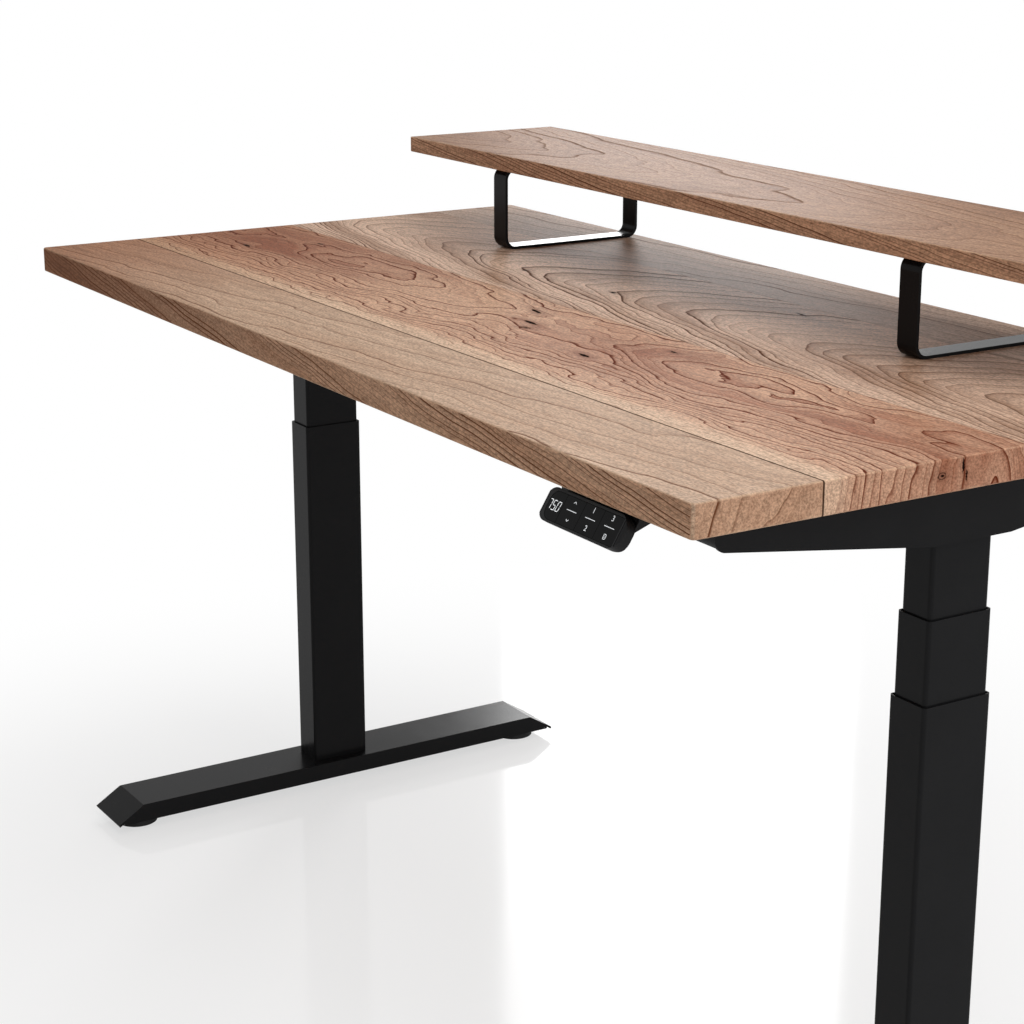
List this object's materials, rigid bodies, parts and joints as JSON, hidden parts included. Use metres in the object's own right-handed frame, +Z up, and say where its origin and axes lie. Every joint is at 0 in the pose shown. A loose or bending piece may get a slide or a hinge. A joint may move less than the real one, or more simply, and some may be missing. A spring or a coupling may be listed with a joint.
{
  "type": "height-adjustable desk",
  "caption": "Height-adjustable desk: wooden top, raised monitor shelf on loop brackets, telescopic column legs on flat feet, and a tilted handset under the front edge.",
  "frame": {"origin": "on the floor, midway between the two columns, under the middle of the desktop", "axes": "+X along the desk to the user's right, +Y from the front edge to the back, +Z up"},
  "size_m": [1.4, 0.71, 0.887],
  "materials": {
    "front_board_wood": "satin oil",
    "middle_board_wood": "satin oil",
    "third_board_wood": "satin oil",
    "rear_board_wood": "satin oil",
    "shelf_wood": "satin oil",
    "black_steel": "satin powder coat",
    "plain_steel": "drawn tube",
    "spindle_steel": "rolled thread, greased",
    "bolt_steel": "black oxide",
    "motor_steel": "zinc plated can",
    "gearbox_metal": "die cast",
    "slide_plastic": "plain",
    "nut_plastic": "plain",
    "pad_plastic": "fine matt",
    "box_plastic": "spark-eroded texture",
    "handset_plastic": "fine matt",
    "handset_gloss": "gloss"
  },
  "bodies": {
    "base": {"left_foot": "black_steel", "left_outer_column": "black_steel", "left_outer_glides": "slide_plastic", "left_support_tube": "plain_steel", "left_lower_nut": "nut_plastic", "right_foot": "black_steel", "right_outer_column": "black_steel", "right_outer_glides": "slide_plastic", "right_support_tube": "plain_steel", "right_lower_nut": "nut_plastic", "foot_bolts": "bolt_steel"},
    "top": {"front_board": "front_board_wood", "middle_board": "middle_board_wood", "third_board": "third_board_wood", "rear_board": "rear_board_wood", "monitor_shelf": "shelf_wood", "left_inner_column": "black_steel", "left_side_arm": "black_steel", "left_shelf_bracket": "black_steel", "left_inner_glides": "slide_plastic", "left_gearbox": "gearbox_metal", "left_motor": "motor_steel", "right_inner_column": "black_steel", "right_side_arm": "black_steel", "right_shelf_bracket": "black_steel", "right_inner_glides": "slide_plastic", "right_gearbox": "gearbox_metal", "right_motor": "motor_steel", "front_rail": "black_steel", "rear_rail": "black_steel", "head_bolts": "bolt_steel", "rail_bolts": "bolt_steel", "wood_screws": "bolt_steel", "bracket_screws": "bolt_steel", "control_box": "box_plastic", "control_box_cover": "box_plastic", "mains_inlet": "box_plastic", "handset_housing": "handset_plastic", "handset_mount": "handset_plastic", "handset_display": "handset_gloss"},
    "left_middle_stage": {"left_middle_column": "black_steel", "left_middle_glides": "slide_plastic", "left_push_tube": "plain_steel", "left_upper_nut": "nut_plastic"},
    "left_hollow_screw": {"left_hollow_spindle": "spindle_steel"},
    "left_drive_screw": {"left_drive_spindle": "spindle_steel"},
    "left_front_levelling_pad": {"left_front_pad": "pad_plastic"},
    "left_rear_levelling_pad": {"left_rear_pad": "pad_plastic"},
    "right_middle_stage": {"right_middle_column": "black_steel", "right_middle_glides": "slide_plastic", "right_push_tube": "plain_steel", "right_upper_nut": "nut_plastic"},
    "right_hollow_screw": {"right_hollow_spindle": "spindle_steel"},
    "right_drive_screw": {"right_drive_spindle": "spindle_steel"},
    "right_front_levelling_pad": {"right_front_pad": "pad_plastic"},
    "right_rear_levelling_pad": {"right_rear_pad": "pad_plastic"},
    "height_key_rocker": {"height_key": "handset_gloss"},
    "first_preset_key_rocker": {"first_preset_key": "handset_gloss"},
    "second_preset_key_rocker": {"second_preset_key": "handset_gloss"}
  },
  "joints": [
    {"name": "desk_lift", "type": "slide", "parent": "base", "child": "top", "axis": [0, 0, 1], "range_m": [-0.14, 0.505]},
    {"name": "left_middle_slide", "type": "slide", "parent": "base", "child": "left_middle_stage", "axis": [0, 0, 1], "range_m": [-0.07, 0.2525]},
    {"name": "left_drive_screw_turn", "type": "hinge", "parent": "top", "child": "left_drive_screw", "pos_m": [-0.609, 0, 0.5], "axis": [0, 0, 1], "range_deg": [-2101, 7577]},
    {"name": "left_hollow_screw_turn", "type": "hinge", "parent": "left_middle_stage", "child": "left_hollow_screw", "pos_m": [-0.609, 0, 0.5], "axis": [0, 0, 1], "range_deg": [-2101, 7577]},
    {"name": "left_front_pad_turn", "type": "hinge", "parent": "base", "child": "left_front_levelling_pad", "pos_m": [-0.609, -0.297, 0], "axis": [0, 0, 1], "continuous": true},
    {"name": "left_rear_pad_turn", "type": "hinge", "parent": "base", "child": "left_rear_levelling_pad", "pos_m": [-0.609, 0.297, 0], "axis": [0, 0, 1], "continuous": true},
    {"name": "right_middle_slide", "type": "slide", "parent": "base", "child": "right_middle_stage", "axis": [0, 0, 1], "range_m": [-0.07, 0.2525]},
    {"name": "right_drive_screw_turn", "type": "hinge", "parent": "top", "child": "right_drive_screw", "pos_m": [0.609, 0, 0.5], "axis": [0, 0, 1], "range_deg": [-2101, 7577]},
    {"name": "right_hollow_screw_turn", "type": "hinge", "parent": "right_middle_stage", "child": "right_hollow_screw", "pos_m": [0.609, 0, 0.5], "axis": [0, 0, 1], "range_deg": [-2101, 7577]},
    {"name": "right_front_pad_turn", "type": "hinge", "parent": "base", "child": "right_front_levelling_pad", "pos_m": [0.609, -0.297, 0], "axis": [0, 0, 1], "continuous": true},
    {"name": "right_rear_pad_turn", "type": "hinge", "parent": "base", "child": "right_rear_levelling_pad", "pos_m": [0.609, 0.297, 0], "axis": [0, 0, 1], "continuous": true},
    {"name": "height_key_tip", "type": "hinge", "parent": "top", "child": "height_key_rocker", "pos_m": [0.53205, -0.34937, 0.71585], "axis": [1, 0, 0], "range_deg": [-2.5, 2.5], "stiffness_Nm_per_rad": 0.2},
    {"name": "first_preset_key_tip", "type": "hinge", "parent": "top", "child": "first_preset_key_rocker", "pos_m": [0.55995, -0.34937, 0.71585], "axis": [1, 0, 0], "range_deg": [-2.5, 2.5], "stiffness_Nm_per_rad": 0.2},
    {"name": "second_preset_key_tip", "type": "hinge", "parent": "top", "child": "second_preset_key_rocker", "pos_m": [0.58785, -0.34937, 0.71585], "axis": [1, 0, 0], "range_deg": [-2.5, 2.5], "stiffness_Nm_per_rad": 0.2}
  ],
  "couplings": [
    {"joint": "left_middle_slide", "follows": "desk_lift", "ratio": 0.5},
    {"joint": "left_drive_screw_turn", "follows": "desk_lift", "rad_per_m": 261.8},
    {"joint": "left_hollow_screw_turn", "follows": "desk_lift", "rad_per_m": 261.8},
    {"joint": "right_middle_slide", "follows": "desk_lift", "ratio": 0.5},
    {"joint": "right_drive_screw_turn", "follows": "desk_lift", "rad_per_m": 261.8},
    {"joint": "right_hollow_screw_turn", "follows": "desk_lift", "rad_per_m": 261.8}
  ]
}
